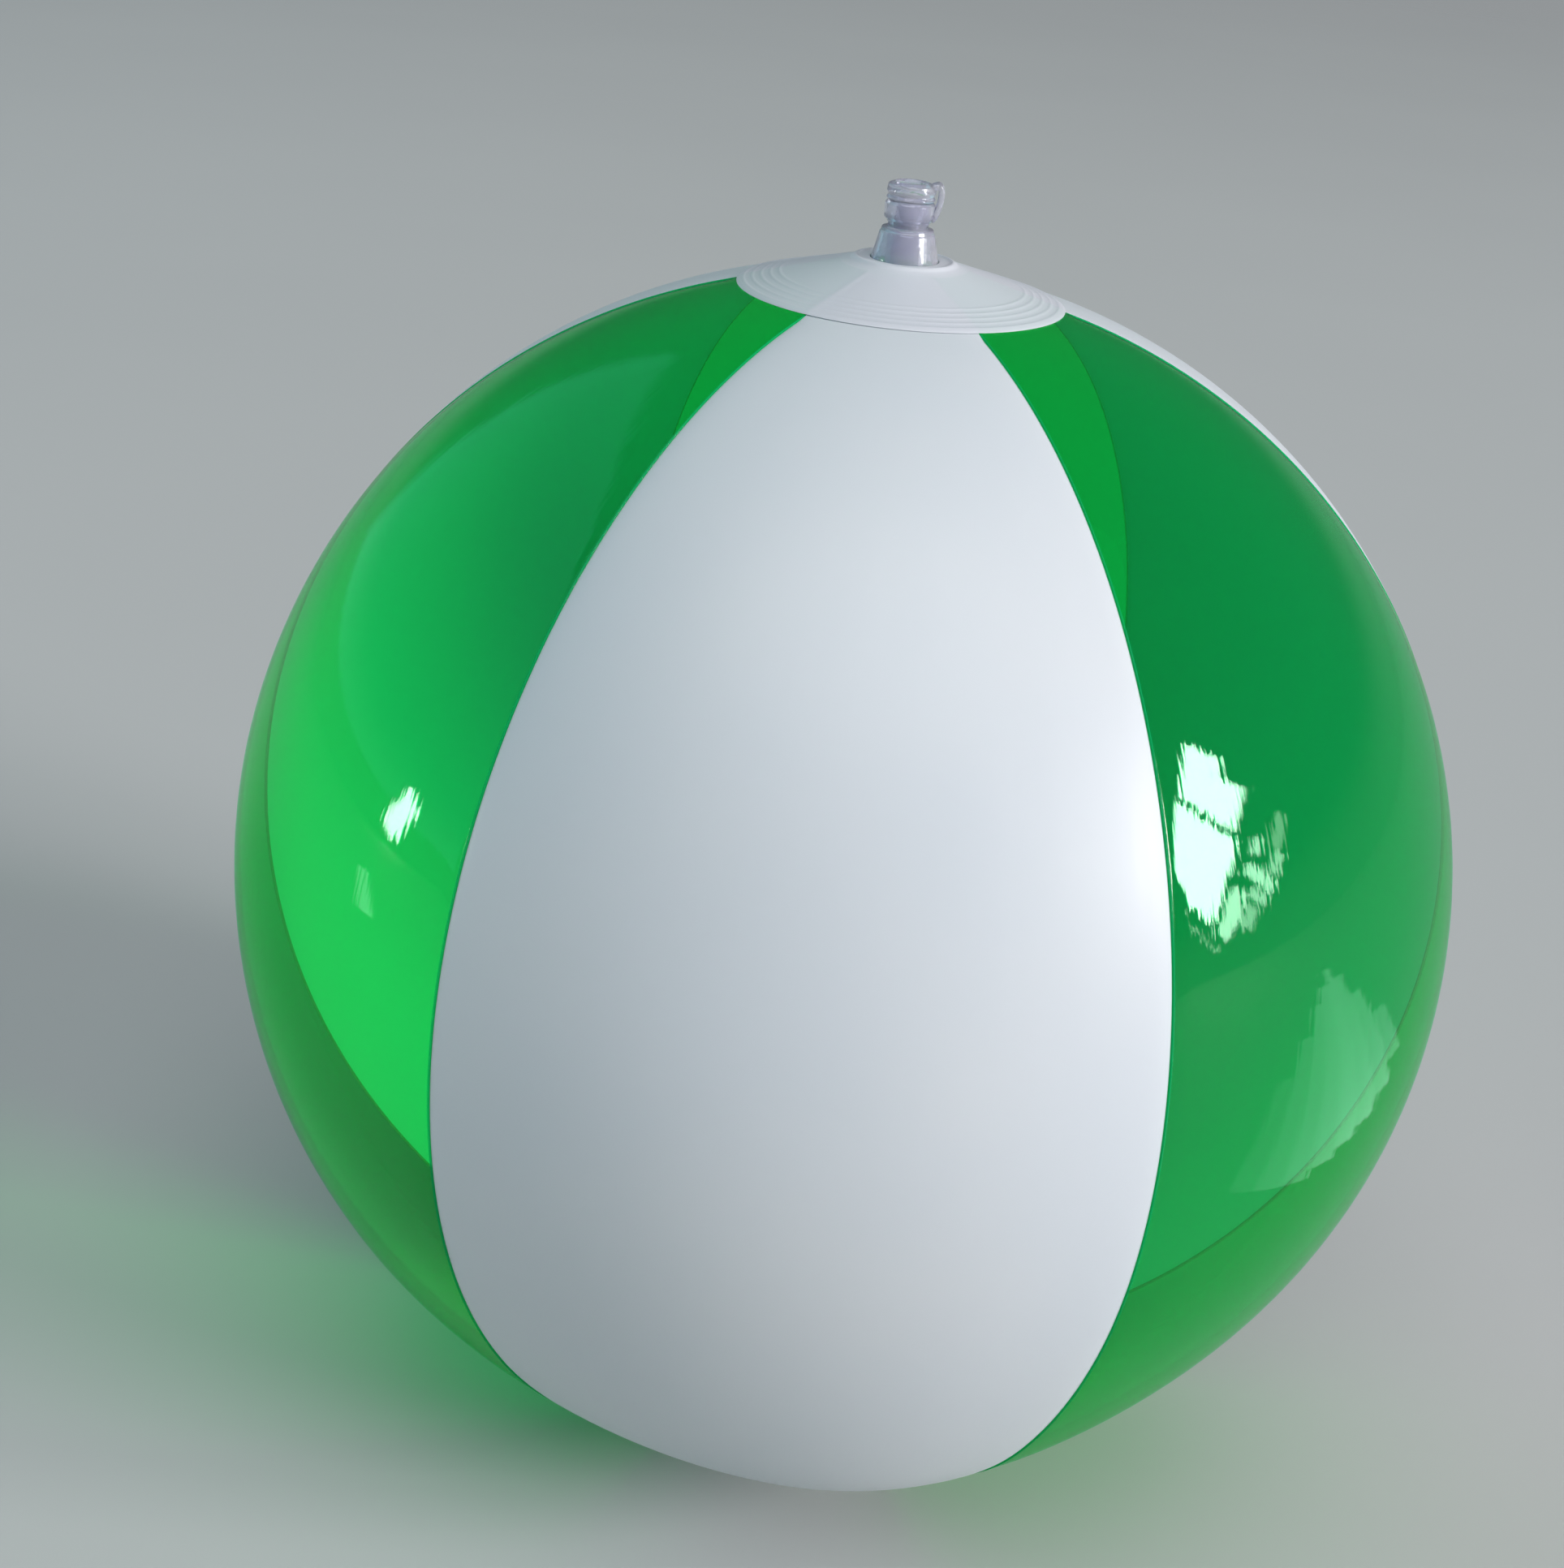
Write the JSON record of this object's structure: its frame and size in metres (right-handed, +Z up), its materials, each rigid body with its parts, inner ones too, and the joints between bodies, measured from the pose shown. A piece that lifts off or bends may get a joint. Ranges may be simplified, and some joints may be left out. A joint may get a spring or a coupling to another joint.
{
  "type": "inflatable beach ball",
  "caption": "Inflated vinyl beach ball of alternating white and clear green panels, with polar discs and a soft stem valve closed by a plug on a strap.",
  "frame": {"origin": "middle of the flat patch under the ball, on the surface that it rests on", "axes": "+Z up the polar axis through the valve, -Y out of the middle of the front white panel, +X to the right seen from the front, where the plug's strap is"},
  "size_m": [0.28, 0.28, 0.2981],
  "materials": {
    "white_vinyl": "satin",
    "green_vinyl": "clear gloss",
    "valve_pvc": "clear gloss"
  },
  "bodies": {
    "ball": {"gore_white_front": "white_vinyl", "gore_white_back_right": "white_vinyl", "gore_white_back_left": "white_vinyl", "gore_green_right": "green_vinyl", "gore_green_back": "green_vinyl", "gore_green_left": "green_vinyl", "top_disc": "white_vinyl", "bottom_disc": "white_vinyl", "valve_flange": "valve_pvc", "valve_skirt": "valve_pvc"},
    "stem": {"valve_neck": "valve_pvc"},
    "plug": {"valve_plug": "valve_pvc", "plug_strap": "valve_pvc"},
    "flap": {"check_flap": "valve_pvc"}
  },
  "joints": [
    {"name": "valve_push", "type": "slide", "parent": "ball", "child": "stem", "axis": [0, 0, -1], "range_m": [0, 0.0095], "deforming": ["valve_skirt"]},
    {"name": "plug_flip", "type": "hinge", "parent": "stem", "child": "plug", "pos_m": [0.00675, 0, 0.2946], "axis": [0, 1, 0], "range_deg": [0, 130], "deforming": ["plug_strap"]},
    {"name": "flap_open", "type": "hinge", "parent": "stem", "child": "flap", "pos_m": [-0.00435, 0, 0.2805], "axis": [0, 1, 0], "range_deg": [0, 60], "stiffness_Nm_per_rad": 0.00001, "springref_deg": -17.19}
  ]
}
